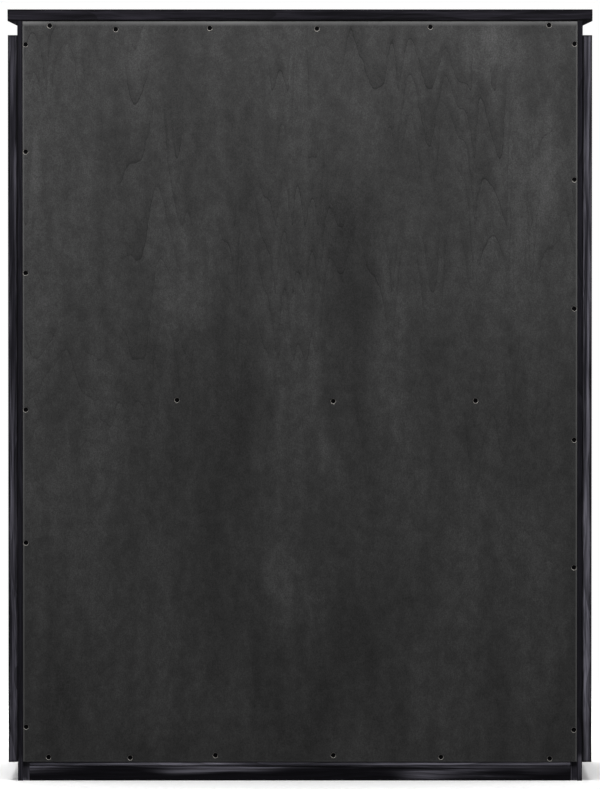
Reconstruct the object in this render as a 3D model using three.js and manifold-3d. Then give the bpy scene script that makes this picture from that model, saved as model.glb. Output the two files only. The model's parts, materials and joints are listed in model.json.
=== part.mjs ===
// A tall chest of six equal drawers: a black-painted hardwood case on a recessed plinth, with a bevelled top
// over a shadow gap, overlaid sides and a stained plywood back screwed into rabbets.
//
// Millimetres, +Z up. X runs across the chest, the drawers open towards -Y and the back panel faces +Y.
// The origin lies on the floor under the middle of the bounding box, which includes the drawer pulls.
import * as THREE from "three";
import { mergeVertices } from "three/addons/utils/BufferGeometryUtils.js";
import Module from "manifold-3d";

const wasm = await Module();
wasm.setup();

// ---------------------------------------------------------------- driving dimensions

const WIDTH = 965; // over the top panel, end to end
const HEIGHT = 1275; // floor to the top panel's face
const DEPTH = 457; // top panel, front edge to back edge
const DRAWERS = 6;

const TOP_THICK = 18.5;
const OVERHANG = 16; // top panel past the carcass, at the sides and the front
const BEVEL_DROP = 8.5; // height of the bevel moulding where it meets the carcass
const BEVEL_LIP = 0.75; // its height at the outer edge

const SIDE_THICK = 19;
const OVERLAY_THICK = 15.5;
const OVERLAY_FOOT = 31; // floor to the lower edge of the overlays and of the lowest drawer front
const OVERLAY_HIGH = 1201.5;

const PANEL_THICK = 6; // plywood back
const RABBET_DEEP = 7.5;
const RABBET_WIDE = 10.75;
const PANEL_SIDE_GAP = 0.5; // back panel to the rabbet's wall
const PANEL_TOP_GAP = 1.4; // back panel to the top panel

const DIVIDER_THICK = 15;
const BOTTOM_THICK = 12;
const RAIL_HIGH = 30;
const RAIL_THICK = 20;
const FRONT_RAIL_DEEP = 45;
const KICKER_WIDE = 30;
const BASE_GAP = 0.5; // base rails to the case bottom above them
const BASE_FRONT_SET_IN = 2;
const BASE_BACK_PROUD = 3.75; // rear base rail's face beyond the back panel's inner face
const BACK_LIP_DEEP = 4.5; // lip of the lowest back rail, under the back panel's lower edge
const BACK_LIP_HIGH = 5.3;

const DADO_DEEP = 6; // housings for the dividers
const TENON_LONG = 10;
const TENON_THICK = 8;
const TENON_SHOULDER = 4; // rail height lost above and below its tenon
const JOINT_GAP = 0.25; // glue clearance round tenons, tongues and dovetails

const FRONT_GAP = 3; // between drawer fronts
const FRONT_SIDE_GAP = 2.25; // drawer front to the side overlays
const LIP_THICK = 15; // drawer front, the part that covers the carcass
const BOSS_THICK = 10; // the part of it that enters the opening
const BOX_THICK = 12; // drawer sides and back
const BOX_HIGH = 165;
const BOX_SIDE_GAP = 1.5;
const BOX_LIFT = 1; // height of the nylon tacks that the box glides on
const BOSS_TOP_GAP = 3.75;
const BOX_END = 421; // drawer box's back end, behind the chest's front plane
const BOTTOM_PLY = 6;
const GROOVE_UP = 11; // drawer bottom, above the lower edge of the drawer side
const GROOVE_DEEP = 6;
const TAIL_PITCH = 40;
const TAIL_ROOT = 20; // dovetail width where it leaves the board
const TAIL_TIP = 24;

const PULL_CENTRES = 160; // between the two posts
const PULL_RISE = 30; // drawer face to the outside of the bar
const BAR_RADIUS = 5;
const BEND_RADIUS = 14;
const ROSE_RADIUS = 9;
const ROSE_THICK = 4;
const PULL_STEPS = 32; // lengths that the bar is divided into

const SCREW_HOLE_RADIUS = 2.25;
const COUNTERSINK_RADIUS = 4.5;
const COUNTERSINK_DEEP = 2.75;
const COUNTERSINK_LIP = 0.5; // straight wall at the mouth of the countersink
const HOLE_FACETS = 14;

// Where the back panel's screws were driven by hand: [x, z] of the three rows, then the heights of those
// down its two upright edges. Right is +X.
const TOP_SCREWS = [[413, 1248], [304, 1242], [149, 1244], [-28, 1243], [-215, 1246], [-411, 1249]];
const MIDDLE_SCREWS = [[203, 630], [-55, 628], [-290, 629]];
const BOTTOM_SCREWS = [[416, 39], [281, 38], [140, 42], [-55, 42], [-233, 39], [-413, 36.5]];
const EDGE_SCREW_IN = 4.75; // edge rows, in from the panel's edge
const RIGHT_EDGE_SCREWS = [1217, 1040, 840, 614, 394, 89];
const LEFT_EDGE_SCREWS = [1218, 994, 781, 564, 353, 84];

// ---------------------------------------------------------------- planes worked out from them

const FACE_SET_IN = OVERHANG - OVERLAY_THICK; // overlays and drawer faces, behind the top panel's edge
const BACK = (DEPTH + PULL_RISE - FACE_SET_IN) / 2;
const FRONT = BACK - DEPTH;
const CARCASS_FRONT = FRONT + OVERHANG;
const PANEL_PLANE = BACK - RABBET_DEEP; // inner face of the back panel
const UNDER_TOP = HEIGHT - TOP_THICK;
const CARCASS_HALF = WIDTH / 2 - OVERHANG;
const INNER_HALF = CARCASS_HALF - SIDE_THICK;

const FRONT_HIGH = (OVERLAY_HIGH - (DRAWERS - 1) * FRONT_GAP) / DRAWERS;
const PITCH = FRONT_HIGH + FRONT_GAP;
const LIP_OVERLAP = (DIVIDER_THICK - FRONT_GAP) / 2; // drawer front over the divider above and below it
const OPENING_HIGH = PITCH - DIVIDER_THICK;
const FIRST_OPENING = OVERLAY_FOOT + LIP_OVERLAP; // floor of the lowest opening
const TOP_RAIL_LOW = FIRST_OPENING + (DRAWERS - 1) * PITCH + OPENING_HIGH;
const BOTTOM_LOW = FIRST_OPENING - BOTTOM_THICK;

// ---------------------------------------------------------------- finishes

const finish = (color, roughness, metalness = 0) => () =>
  new THREE.MeshStandardMaterial({ color, roughness, metalness });
const blackPaint = finish(0x1e1d22, 0.55);
const greyStain = finish(0x3b3b3b, 0.7);
const boxWood = finish(0xc9a878, 0.6);
const boxPly = finish(0xd2b68a, 0.65);
const agedBrass = finish(0x8a6f3f, 0.35, 1);

// ---------------------------------------------------------------- building tools

// A closed three.js geometry as a solid that can be joined and cut.
function solidOf(geometry) {
  const bare = geometry.index ? geometry.toNonIndexed() : geometry.clone();
  bare.deleteAttribute("normal");
  bare.deleteAttribute("uv");
  const merged = mergeVertices(bare, 1e-4);
  return new wasm.Manifold(
    new wasm.Mesh({
      numProp: 3,
      vertProperties: merged.attributes.position.array,
      triVerts: new Uint32Array(merged.index.array),
    }),
  );
}

function geometryOf(solid) {
  const mesh = solid.getMesh();
  return new THREE.BufferGeometry()
    .setAttribute("position", new THREE.BufferAttribute(mesh.vertProperties, 3))
    .setIndex(new THREE.BufferAttribute(mesh.triVerts, 1));
}

// One geometry with others added to it and more cut out of it.
function shaped(geometry, { add = [], cut = [] }) {
  let solid = solidOf(geometry);
  for (const piece of add) solid = solid.add(solidOf(piece));
  for (const piece of cut) solid = solid.subtract(solidOf(piece));
  return geometryOf(solid);
}

// A rectangular block from its [low, high] along each axis, in either order.
function block([x0, x1], [y0, y1], [z0, z1]) {
  return new THREE.BoxGeometry(Math.abs(x1 - x0), Math.abs(y1 - y0), Math.abs(z1 - z0)).translate(
    (x0 + x1) / 2,
    (y0 + y1) / 2,
    (z0 + z1) / 2,
  );
}

// A prism along X: its outline is a list of [y, z] corners.
function prismAlongX(outline, x0, x1) {
  const shape = new THREE.Shape(outline.map(([y, z]) => new THREE.Vector2(y, z)));
  const toRow = new THREE.Matrix4().makeBasis(
    new THREE.Vector3(0, 1, 0),
    new THREE.Vector3(0, 0, 1),
    new THREE.Vector3(1, 0, 0),
  );
  return new THREE.ExtrudeGeometry(shape, { depth: x1 - x0, bevelEnabled: false })
    .applyMatrix4(toRow)
    .translate(x0, 0, 0);
}

function meshOf(name, geometry, material) {
  const mesh = new THREE.Mesh(geometry, material());
  mesh.name = name;
  return mesh;
}

const SIDES = [
  ["left", -1],
  ["right", 1],
];
const grown = ([low, high], by) => [low - by, high + by];

// ---------------------------------------------------------------- cross members

const sideCuts = { left: [], right: [] }; // mortises and dadoes that they need in the side panels

// A rail between the side panels, with a stub tenon at each end in a mortise in the panel.
function rail(ySpan, zSpan) {
  const middle = (ySpan[0] + ySpan[1]) / 2;
  const tenonY = [middle - TENON_THICK / 2, middle + TENON_THICK / 2];
  const tenonZ = grown(zSpan, -TENON_SHOULDER);
  const tip = INNER_HALF + TENON_LONG;
  for (const [side, sign] of SIDES) {
    const mouth = [sign * (INNER_HALF - 1), sign * (tip + JOINT_GAP)];
    sideCuts[side].push(block(mouth, grown(tenonY, JOINT_GAP), grown(tenonZ, JOINT_GAP)));
  }
  const tenons = block([-tip, tip], tenonY, tenonZ);
  return shaped(block([-INNER_HALF, INNER_HALF], ySpan, zSpan), { add: [tenons] });
}

// A board between the side panels, with both ends housed in dadoes.
function shelf(ySpan, zSpan) {
  const end = INNER_HALF + DADO_DEEP - JOINT_GAP;
  const dadoY = [CARCASS_FRONT - 1, ySpan[1] + 1];
  for (const [side, sign] of SIDES) {
    const mouth = [sign * (INNER_HALF - 1), sign * (INNER_HALF + DADO_DEEP)];
    sideCuts[side].push(block(mouth, dadoY, grown(zSpan, JOINT_GAP)));
  }
  return block([-end, end], ySpan, zSpan);
}

function crossMembers() {
  const backRail = [PANEL_PLANE - RAIL_THICK, PANEL_PLANE];
  const frontBase = [CARCASS_FRONT + BASE_FRONT_SET_IN, CARCASS_FRONT + BASE_FRONT_SET_IN + RAIL_THICK];
  const backBase = [PANEL_PLANE + BASE_BACK_PROUD - RAIL_THICK, PANEL_PLANE + BASE_BACK_PROUD];
  const lip = block(
    [-INNER_HALF, INNER_HALF],
    [PANEL_PLANE - 1, PANEL_PLANE + BACK_LIP_DEEP],
    [BOTTOM_LOW, BOTTOM_LOW + BACK_LIP_HIGH],
  );
  const lowRail = shaped(rail(backRail, [BOTTOM_LOW, BOTTOM_LOW + RAIL_HIGH]), { add: [lip] });
  const topSpan = [TOP_RAIL_LOW, UNDER_TOP];
  const baseSpan = [0, BOTTOM_LOW - BASE_GAP];
  const paint = blackPaint;
  const made = [
    meshOf("top_front_rail", rail([CARCASS_FRONT, CARCASS_FRONT + FRONT_RAIL_DEEP], topSpan), paint),
    meshOf("top_back_rail", rail(backRail, topSpan), paint),
    meshOf("bottom_back_rail", lowRail, paint),
    meshOf("base_rail_front", rail(frontBase, baseSpan), paint),
    meshOf("base_rail_back", rail(backBase, baseSpan), paint),
    meshOf(
      "bottom_panel",
      shelf([CARCASS_FRONT, PANEL_PLANE - RAIL_THICK], [BOTTOM_LOW, BOTTOM_LOW + BOTTOM_THICK]),
      paint,
    ),
  ];
  for (let n = 1; n < DRAWERS; n += 1) {
    const low = FIRST_OPENING + n * PITCH - DIVIDER_THICK;
    const board = shelf([CARCASS_FRONT, PANEL_PLANE], [low, low + DIVIDER_THICK]);
    made.push(meshOf(`divider_${DRAWERS - n}`, board, paint));
  }
  return made;
}

// ---------------------------------------------------------------- case

// Vertical side, floor to top panel, rabbeted for the back and cut for every rail and shelf.
function sidePanel(side, sign) {
  const x = [sign * INNER_HALF, sign * CARCASS_HALF];
  const rabbet = block(
    [sign * (INNER_HALF - 1), sign * (INNER_HALF + RABBET_WIDE)],
    [PANEL_PLANE, BACK + 1],
    [-1, HEIGHT],
  );
  const panel = shaped(block(x, [CARCASS_FRONT, BACK], [0, UNDER_TOP]), { cut: [rabbet, ...sideCuts[side]] });
  return meshOf(`side_panel_${side}`, panel, blackPaint);
}

// Thick outer skin of the side, short of the top and of the floor, flush with the drawer fronts.
function sideOverlay(side, sign) {
  const x = [sign * CARCASS_HALF, sign * (CARCASS_HALF + OVERLAY_THICK)];
  const board = block(x, [FRONT + FACE_SET_IN, BACK], [OVERLAY_FOOT, OVERLAY_FOOT + OVERLAY_HIGH]);
  return meshOf(`side_overlay_${side}`, board, blackPaint);
}

// Strip that stops the top drawer from tipping, between the two top rails.
function kicker(side, sign) {
  const x = [sign * (INNER_HALF - KICKER_WIDE), sign * INNER_HALF];
  const y = [CARCASS_FRONT + FRONT_RAIL_DEEP, PANEL_PLANE - RAIL_THICK];
  return meshOf(`kicker_${side}`, block(x, y, [TOP_RAIL_LOW, UNDER_TOP]), blackPaint);
}

// Bevel moulding under the top's overhang. Its front corners are mitred by sliding each end's corners in
// by as much as they lie behind the outer edge.
const bevelHeights = (inset) => BEVEL_LIP + ((BEVEL_DROP - BEVEL_LIP) * inset) / OVERHANG;

function bevelFront() {
  const outline = [0, OVERHANG].map((inset) => [FRONT + inset, UNDER_TOP - bevelHeights(inset)]);
  const section = [...outline, [FRONT + OVERHANG, UNDER_TOP], [FRONT, UNDER_TOP]];
  const geometry = prismAlongX(section, -WIDTH / 2, WIDTH / 2);
  const position = geometry.attributes.position;
  for (let i = 0; i < position.count; i += 1) {
    const inset = position.getY(i) - FRONT + JOINT_GAP / 2;
    position.setX(i, Math.sign(position.getX(i)) * (WIDTH / 2 - inset));
  }
  return meshOf("bevel_moulding_front", geometry, blackPaint);
}

function bevelSide(side, sign) {
  const x = [WIDTH / 2 - OVERHANG, WIDTH / 2];
  const geometry = block(x, [FRONT, BACK], [UNDER_TOP - BEVEL_DROP, UNDER_TOP]);
  const position = geometry.attributes.position;
  for (let i = 0; i < position.count; i += 1) {
    const inset = WIDTH / 2 - position.getX(i);
    if (position.getZ(i) < UNDER_TOP) position.setZ(i, UNDER_TOP - bevelHeights(inset));
    if (position.getY(i) < 0) position.setY(i, FRONT + inset + JOINT_GAP / 2);
  }
  if (sign < 0) geometry.rotateZ(Math.PI).scale(1, -1, 1).index.array.reverse();
  return meshOf(`bevel_moulding_${side}`, geometry, blackPaint);
}

// ---------------------------------------------------------------- back panel

// One countersunk screw hole through the plywood, centred at x, z.
function screwHole([x, z]) {
  const face = PANEL_PLANE + PANEL_THICK;
  const profile = [
    [0, -PANEL_THICK - 1],
    [SCREW_HOLE_RADIUS, -PANEL_THICK - 1],
    [SCREW_HOLE_RADIUS, -COUNTERSINK_DEEP],
    [COUNTERSINK_RADIUS, -COUNTERSINK_LIP],
    [COUNTERSINK_RADIUS, 1],
    [0, 1],
  ].map(([r, depth]) => new THREE.Vector2(r, depth));
  return new THREE.LatheGeometry(profile, HOLE_FACETS).translate(x, face, z);
}

function backPanel() {
  const half = INNER_HALF + RABBET_WIDE - PANEL_SIDE_GAP;
  const low = OVERLAY_FOOT + PANEL_SIDE_GAP;
  const holes = [
    ...TOP_SCREWS,
    ...MIDDLE_SCREWS,
    ...BOTTOM_SCREWS,
    ...RIGHT_EDGE_SCREWS.map((z) => [half - EDGE_SCREW_IN, z]),
    ...LEFT_EDGE_SCREWS.map((z) => [EDGE_SCREW_IN - half, z]),
  ];
  const z = [low, UNDER_TOP - PANEL_TOP_GAP];
  const sheet = block([-half, half], [PANEL_PLANE, PANEL_PLANE + PANEL_THICK], z);
  return meshOf("back_panel", shaped(sheet, { cut: holes.map(screwHole) }), greyStain);
}

// ---------------------------------------------------------------- drawers
// Drawers are drawn with z = 0 at the floor of their opening, and lifted into place as a group.

const BOX_HALF = INNER_HALF - BOX_SIDE_GAP;
const BOX_LOW = BOX_LIFT;
const BOX_TOP = BOX_LOW + BOX_HIGH;
const FACE = FRONT + FACE_SET_IN;
const BOSS_FRONT = FACE + LIP_THICK;
const BOSS_BACK = BOSS_FRONT + BOSS_THICK;
const BOX_BACK = FRONT + BOX_END;
const PLY_LOW = BOX_LOW + GROOVE_UP;
const PLY_TOP = PLY_LOW + BOTTOM_PLY;
const FRONT_TAILS = [0, 1, 2, 3].map((n) => BOX_LOW + BOX_HIGH / 2 + (n - 1.5) * TAIL_PITCH);
const BACK_TAILS = [0, 1, 2].map((n) => (PLY_TOP + BOX_TOP) / 2 + (n - 1) * TAIL_PITCH);

// Dovetails on the end of a drawer side: they widen from the root plane to the tip plane.
function tails(centres, root, tip, xSpan, gap = 0) {
  const way = Math.sign(tip - root);
  const [x0, x1] = [...xSpan].sort((a, b) => a - b);
  return centres.map((centre) => {
    const atRoot = TAIL_ROOT / 2 + gap;
    const atTip = TAIL_TIP / 2 + gap;
    const start = root - way; // a millimetre inside the board, so that the two join
    const outline = [
      [start, centre - atRoot],
      [root, centre - atRoot],
      [tip + way * gap, centre - atTip],
      [tip + way * gap, centre + atTip],
      [root, centre + atRoot],
      [start, centre + atRoot],
    ];
    return prismAlongX(way < 0 ? outline.reverse() : outline, x0, x1);
  });
}

function drawerFront() {
  const lipHalf = CARCASS_HALF - FRONT_SIDE_GAP;
  const lip = block([-lipHalf, lipHalf], [FACE, BOSS_FRONT], [-LIP_OVERLAP, FRONT_HIGH - LIP_OVERLAP]);
  const bossZ = [BOX_LOW, OPENING_HIGH - BOSS_TOP_GAP];
  const boss = block([-BOX_HALF, BOX_HALF], [BOSS_FRONT - 1, BOSS_BACK], bossZ);
  const inner = BOX_HALF - BOX_THICK;
  const groove = block(
    [-inner - GROOVE_DEEP, inner + GROOVE_DEEP],
    [BOSS_BACK - GROOVE_DEEP, BOSS_BACK + 1],
    [PLY_LOW - JOINT_GAP, PLY_TOP + JOINT_GAP],
  );
  const sockets = SIDES.flatMap(([, sign]) =>
    tails(FRONT_TAILS, BOSS_BACK, BOSS_FRONT, [sign * (inner - JOINT_GAP), sign * (BOX_HALF + 1)], JOINT_GAP),
  );
  return shaped(lip, { add: [boss], cut: [groove, ...sockets] });
}

function drawerSide(sign) {
  const inner = BOX_HALF - BOX_THICK;
  const x = [sign * inner, sign * BOX_HALF];
  const root = BOX_BACK - BOX_THICK;
  const board = block(x, [BOSS_BACK, root], [BOX_LOW, BOX_TOP]);
  const heel = block(x, [root - 1, BOX_BACK], [BOX_LOW, PLY_TOP]); // passes below the drawer's back
  const groove = block(
    [sign * (inner - 1), sign * (inner + GROOVE_DEEP)],
    [BOSS_FRONT - 1, BOX_BACK + 1],
    [PLY_LOW - JOINT_GAP, PLY_TOP + JOINT_GAP],
  );
  const frontTails = tails(FRONT_TAILS, BOSS_BACK, BOSS_FRONT + JOINT_GAP, x);
  const backTails = tails(BACK_TAILS, root, BOX_BACK, x);
  return shaped(board, { add: [heel, ...frontTails, ...backTails], cut: [groove] });
}

function drawerBack() {
  const root = BOX_BACK - BOX_THICK;
  const inner = BOX_HALF - BOX_THICK;
  const board = block([-BOX_HALF, BOX_HALF], [root, BOX_BACK], [PLY_TOP + JOINT_GAP, BOX_TOP]);
  const sockets = SIDES.flatMap(([, sign]) =>
    tails(BACK_TAILS, root, BOX_BACK, [sign * (inner - JOINT_GAP), sign * (BOX_HALF + 1)], JOINT_GAP),
  );
  return shaped(board, { cut: sockets });
}

function drawerBottom() {
  const half = BOX_HALF - BOX_THICK + GROOVE_DEEP - JOINT_GAP;
  return block([-half, half], [BOSS_BACK - GROOVE_DEEP + JOINT_GAP, BOX_BACK], [PLY_LOW, PLY_TOP]);
}

// D-shaped bar pull: one round bar bent twice, on two turned roses.
function pull() {
  const line = new THREE.CurvePath();
  const reach = BAR_RADIUS - PULL_RISE; // bar's centre line, ahead of the drawer face
  const half = PULL_CENTRES / 2;
  const at = (x, y) => new THREE.Vector3(x, y, 0);
  const bend = BEND_RADIUS;
  line.add(new THREE.LineCurve3(at(-half, 0), at(-half, reach + bend)));
  const bent = (...corners) => new THREE.QuadraticBezierCurve3(...corners);
  line.add(bent(at(-half, reach + bend), at(-half, reach), at(bend - half, reach)));
  line.add(new THREE.LineCurve3(at(bend - half, reach), at(half - bend, reach)));
  line.add(bent(at(half - bend, reach), at(half, reach), at(half, reach + bend)));
  line.add(new THREE.LineCurve3(at(half, reach + bend), at(half, 0)));
  const section = new THREE.Shape().absarc(0, 0, BAR_RADIUS, 0, 2 * Math.PI);
  const bar = new THREE.ExtrudeGeometry(section, { extrudePath: line, steps: PULL_STEPS, curveSegments: 5 });
  const profile = [
    [0, 0],
    [ROSE_RADIUS, 0],
    [ROSE_RADIUS, ROSE_THICK / 2],
    [ROSE_RADIUS - 2, ROSE_THICK],
    [0, ROSE_THICK],
  ].map(([r, high]) => new THREE.Vector2(r, high));
  const roses = SIDES.map(([, sign]) =>
    new THREE.LatheGeometry(profile, 12).rotateX(Math.PI).translate(sign * half, 0, 0),
  );
  return shaped(bar, { add: roses }).translate(0, FACE, FRONT_HIGH / 2 - LIP_OVERLAP);
}

function drawer(number, pieces) {
  const group = new THREE.Group();
  for (const [name, [geometry, material]] of Object.entries(pieces)) {
    group.add(meshOf(`drawer_${number}_${name}`, geometry, material));
  }
  group.position.z = FIRST_OPENING + (DRAWERS - number) * PITCH;
  return group;
}

// ---------------------------------------------------------------- assembly

const chest = new THREE.Group();
chest.add(...crossMembers());
const slab = block([-WIDTH / 2, WIDTH / 2], [FRONT, BACK], [UNDER_TOP, HEIGHT]);
chest.add(meshOf("top_panel", slab, blackPaint));
chest.add(bevelFront(), backPanel());
for (const [side, sign] of SIDES) {
  chest.add(sidePanel(side, sign), sideOverlay(side, sign), kicker(side, sign), bevelSide(side, sign));
}

const drawerPieces = {
  front: [drawerFront(), blackPaint],
  side_left: [drawerSide(-1), boxWood],
  side_right: [drawerSide(1), boxWood],
  back: [drawerBack(), boxWood],
  bottom: [drawerBottom(), boxPly],
  pull: [pull(), agedBrass],
};
for (let number = 1; number <= DRAWERS; number += 1) chest.add(drawer(number, drawerPieces));

export default chest;
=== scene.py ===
import json
import math
import random

import bmesh
import bpy
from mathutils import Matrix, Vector


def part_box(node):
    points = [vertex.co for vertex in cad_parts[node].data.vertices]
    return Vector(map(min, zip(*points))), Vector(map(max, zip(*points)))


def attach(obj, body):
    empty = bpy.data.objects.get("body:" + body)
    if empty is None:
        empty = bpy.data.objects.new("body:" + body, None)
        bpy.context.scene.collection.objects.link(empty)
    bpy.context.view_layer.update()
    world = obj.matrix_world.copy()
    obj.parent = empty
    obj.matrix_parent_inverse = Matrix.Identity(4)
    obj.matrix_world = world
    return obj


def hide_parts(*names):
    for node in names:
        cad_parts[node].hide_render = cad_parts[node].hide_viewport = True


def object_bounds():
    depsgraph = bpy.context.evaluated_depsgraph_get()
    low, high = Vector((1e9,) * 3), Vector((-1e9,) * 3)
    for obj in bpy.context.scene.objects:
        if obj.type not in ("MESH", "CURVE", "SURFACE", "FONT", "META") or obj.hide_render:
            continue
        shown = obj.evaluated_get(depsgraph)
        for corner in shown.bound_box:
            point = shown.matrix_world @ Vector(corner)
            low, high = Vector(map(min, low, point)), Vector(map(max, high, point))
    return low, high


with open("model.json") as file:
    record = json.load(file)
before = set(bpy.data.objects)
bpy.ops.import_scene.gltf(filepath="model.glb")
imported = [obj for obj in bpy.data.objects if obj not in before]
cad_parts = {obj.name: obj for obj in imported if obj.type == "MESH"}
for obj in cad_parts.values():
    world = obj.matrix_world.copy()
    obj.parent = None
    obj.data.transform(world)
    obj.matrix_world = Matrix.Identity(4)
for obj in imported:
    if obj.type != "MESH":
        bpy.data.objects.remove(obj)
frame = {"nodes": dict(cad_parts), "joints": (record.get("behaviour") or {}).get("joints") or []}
cad_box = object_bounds()

# ------------------------------------------------------------------------------------------ side panels
# Two upright hardwood boards carry the whole case and stand on the floor. They are sanded, stained and
# sprayed satin black. Their arrises are eased by hand, and the grain runs up them.

MM = 0.001
SHARP = math.radians(32)  # faces that meet at more than this have a hard edge between them


def linear(colour):
    """An sRGB hex colour as the linear red, green, blue and alpha that a socket takes."""
    parts = [int(colour[i : i + 2], 16) / 255 for i in (1, 3, 5)]
    return [p / 12.92 if p <= 0.04045 else ((p + 0.055) / 1.055) ** 2.4 for p in parts] + [1]


def add(tree, kind, inputs=None, **settings):
    """A node: settings are its own properties, inputs its sockets, as values or other sockets."""
    node = tree.nodes.new(kind)
    for name, value in settings.items():
        setattr(node, name, value)
    for key, value in (inputs or {}).items():
        if isinstance(value, bpy.types.NodeSocket):
            tree.links.new(value, node.inputs[key])
        else:
            node.inputs[key].default_value = value
    return node


def new_material(name):
    """An empty material, its tree and its output node."""
    material = bpy.data.materials.new(name)
    material.use_nodes = True
    material.node_tree.nodes.clear()
    return material, material.node_tree, add(material.node_tree, "ShaderNodeOutputMaterial")


def settled(piece):
    """The piece with what its modifiers make as its own plain mesh."""
    evaluated = piece.evaluated_get(bpy.context.evaluated_depsgraph_get())
    mesh = bpy.data.meshes.new_from_object(evaluated)
    piece.modifiers.clear()
    piece.data = mesh
    return piece


def new_piece(name, mesh):
    piece = bpy.data.objects.new(name, mesh)
    bpy.context.scene.collection.objects.link(piece)
    return piece


def finished(name, bm, low, high, order, material, slot, body, ease):
    """A sanded board from its sawn shape and box. order is the row's axes along the grain, across it and
    through the board. Each point keeps where it lies from the board's middle, half the board's size, and a
    shift of the figure of its own, so that no two boards have the same grain."""
    mesh = bpy.data.meshes.new(name)
    bm.to_mesh(mesh)
    bm.free()
    mesh.materials.append(material)
    piece = new_piece(name, mesh)
    mesh.shade_smooth()
    if ease:
        bevel = piece.modifiers.new("eased arris", "BEVEL")
        bevel.width = ease * MM
        bevel.segments = 3
        bevel.limit_method = "ANGLE"
        bevel.angle_limit = math.radians(30)
    else:
        mesh.set_sharp_from_angle(angle=SHARP)
    flat = piece.modifiers.new("flat faces", "WEIGHTED_NORMAL")
    flat.weight = 100
    flat.keep_sharp = True
    settled(piece)

    middle = (low + high) / 2
    half = (high - low) / 2
    axes = ["XYZ".index(letter) for letter in order]
    chance = random.Random(name)
    shift = [chance.uniform(-5, 5), chance.uniform(-0.12, 0.12), chance.uniform(0.05, 0.16)]
    values = {
        "spot": [(point.co - middle)[axis] for point in piece.data.vertices for axis in axes],
        "reach": [half[axis] for axis in axes] * len(piece.data.vertices),
        "shift": shift * len(piece.data.vertices),
    }
    for key, numbers in values.items():
        piece.data.attributes.new(key, "FLOAT_VECTOR", "POINT").data.foreach_set("vector", numbers)
    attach(piece, body)
    return piece


def board(node, order, material, slot, body="carcass", ease=0.8):
    """A sanded board in place of a CAD node."""
    bm = bmesh.new()
    bm.from_mesh(frame["nodes"][node].data)
    bmesh.ops.remove_doubles(bm, verts=bm.verts, dist=0.001 * MM)
    bmesh.ops.dissolve_limit(bm, angle_limit=math.radians(0.5), verts=bm.verts, edges=bm.edges)
    for face in bm.faces:
        face.material_index = 0
    piece = finished(node + "_finished", bm, *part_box(node), order, material, slot, body, ease)
    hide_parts(node)
    return piece


def wood_figure(tree, ring, wander):
    """A board's own growth rings and fibres in the solid, each 0 to 1. ring is a year's growth in mm, and
    wander how far the rings bend along the board, in mm."""
    spot = add(tree, "ShaderNodeAttribute", attribute_name="spot").outputs["Vector"]
    shift = add(tree, "ShaderNodeAttribute", attribute_name="shift").outputs["Vector"]
    place = add(tree, "ShaderNodeVectorMath", {0: spot, 1: shift}, operation="ADD").outputs[0]
    slow = add(tree, "ShaderNodeVectorMath", {0: place, 1: (2.2, 9, 9)}, operation="MULTIPLY").outputs[0]
    drift = add(tree, "ShaderNodeTexNoise", {"Vector": slow, "Scale": 1, "Detail": 2}).outputs["Color"]
    drift = add(tree, "ShaderNodeVectorMath", {0: drift, 1: (0.5, 0.5, 0.5)}, operation="SUBTRACT").outputs[0]
    drift = add(tree, "ShaderNodeVectorMath", {0: drift, "Scale": wander * MM}, operation="SCALE").outputs[0]
    bent = add(tree, "ShaderNodeVectorMath", {0: place, 1: drift}, operation="ADD").outputs[0]
    radial = add(tree, "ShaderNodeVectorMath", {0: bent, 1: (0, 1, 1)}, operation="MULTIPLY").outputs[0]
    radius = add(tree, "ShaderNodeVectorMath", {0: radial}, operation="LENGTH").outputs["Value"]
    years = add(tree, "ShaderNodeMath", {0: radius, 1: 1 / (ring * MM)}, operation="MULTIPLY").outputs[0]
    season = add(tree, "ShaderNodeMath", {0: years}, operation="FRACT").outputs[0]
    rings = add(tree, "ShaderNodeMath", {0: season, 1: 3}, operation="POWER").outputs[0]
    # Real fibres are a tenth of a millimetre wide. What shows at arm's length is bundles, 1.5 mm by 60 mm.
    strands = add(tree, "ShaderNodeVectorMath", {0: bent, 1: (16, 650, 650)}, operation="MULTIPLY").outputs[0]
    fibres = add(tree, "ShaderNodeTexNoise", {"Vector": strands, "Scale": 1, "Detail": 3}).outputs["Fac"]
    return place, rings, fibres


def arris_distance(tree):
    """How far a point of a board lies from the nearest arris, in metres, and how deep in a rabbet or a
    housing: the middle one and the least of its distances to the three pairs of faces."""
    spot = add(tree, "ShaderNodeAttribute", attribute_name="spot").outputs["Vector"]
    reach = add(tree, "ShaderNodeAttribute", attribute_name="reach").outputs["Vector"]
    size = add(tree, "ShaderNodeVectorMath", {0: spot}, operation="ABSOLUTE").outputs[0]
    gaps = add(tree, "ShaderNodeVectorMath", {0: reach, 1: size}, operation="SUBTRACT").outputs[0]
    a, b, c = add(tree, "ShaderNodeSeparateXYZ", {0: gaps}).outputs
    less = add(tree, "ShaderNodeMath", {0: a, 1: b}, operation="MINIMUM").outputs[0]
    more = add(tree, "ShaderNodeMath", {0: a, 1: b}, operation="MAXIMUM").outputs[0]
    other = add(tree, "ShaderNodeMath", {0: more, 1: c}, operation="MINIMUM").outputs[0]
    near = add(tree, "ShaderNodeMath", {0: less, 1: other}, operation="MAXIMUM").outputs[0]
    return near, add(tree, "ShaderNodeMath", {0: less, 1: other}, operation="MINIMUM").outputs[0]


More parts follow.
